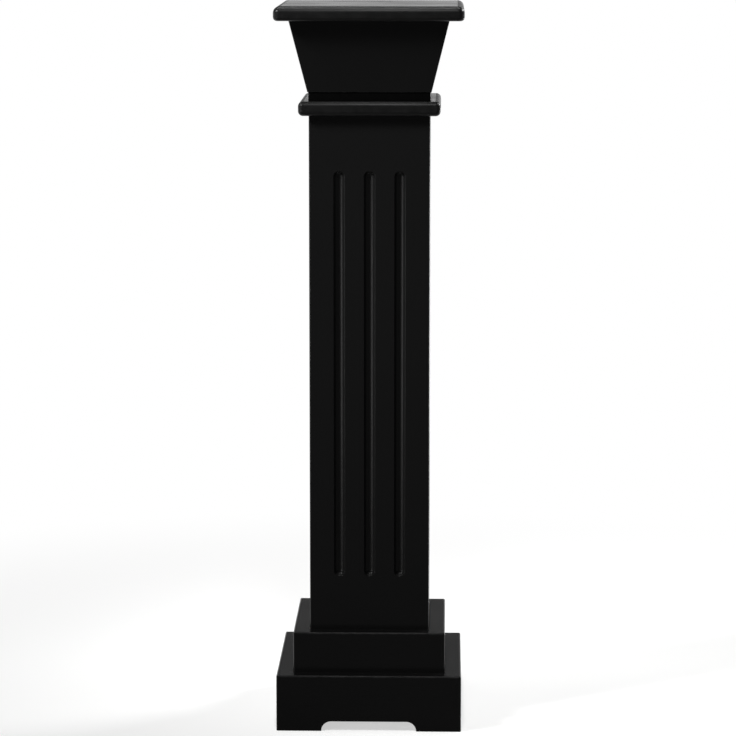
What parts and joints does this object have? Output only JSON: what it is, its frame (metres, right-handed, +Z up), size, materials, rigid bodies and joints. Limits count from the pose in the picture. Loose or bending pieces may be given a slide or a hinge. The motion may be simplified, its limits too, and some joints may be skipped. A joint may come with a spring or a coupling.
{
  "type": "pedestal column stand",
  "caption": "Square display column with a stepped plinth, fluted shaft, round-edged collar, flared capital and flat top board, in satin black lacquer.",
  "frame": {"origin": "centre of the square footprint, on the floor", "axes": "+Z up the column, -Y out of the front face, +X to the right of someone facing the front"},
  "size_m": [0.17, 0.17, 0.66],
  "materials": {
    "black_lacquer": "sprayed satin black lacquer on MDF",
    "raw_mdf": "raw sanded MDF",
    "softwood": "planed pine",
    "zinc_screw": "zinc plated"
  },
  "bodies": {
    "root": {"base_plate": "raw_mdf", "base_screws": "zinc_screw", "capital_back": "black_lacquer", "capital_front": "black_lacquer", "capital_left": "black_lacquer", "capital_locating_block": "raw_mdf", "capital_right": "black_lacquer", "capital_top_plate": "raw_mdf", "collar_board": "black_lacquer", "glue_block_back_left": "softwood", "glue_block_back_right": "softwood", "glue_block_front_left": "softwood", "glue_block_front_right": "softwood", "lower_plinth_back": "black_lacquer", "lower_plinth_front": "black_lacquer", "lower_plinth_left": "black_lacquer", "lower_plinth_right": "black_lacquer", "neck_plate": "black_lacquer", "neck_screws": "zinc_screw", "shaft_back": "black_lacquer", "shaft_bottom_block": "softwood", "shaft_front": "black_lacquer", "shaft_left": "black_lacquer", "shaft_right": "black_lacquer", "shaft_top_block": "softwood", "top_board": "black_lacquer", "top_screws": "zinc_screw", "upper_plinth_back": "black_lacquer", "upper_plinth_front": "black_lacquer", "upper_plinth_left": "black_lacquer", "upper_plinth_right": "black_lacquer"}
  },
  "joints": []
}
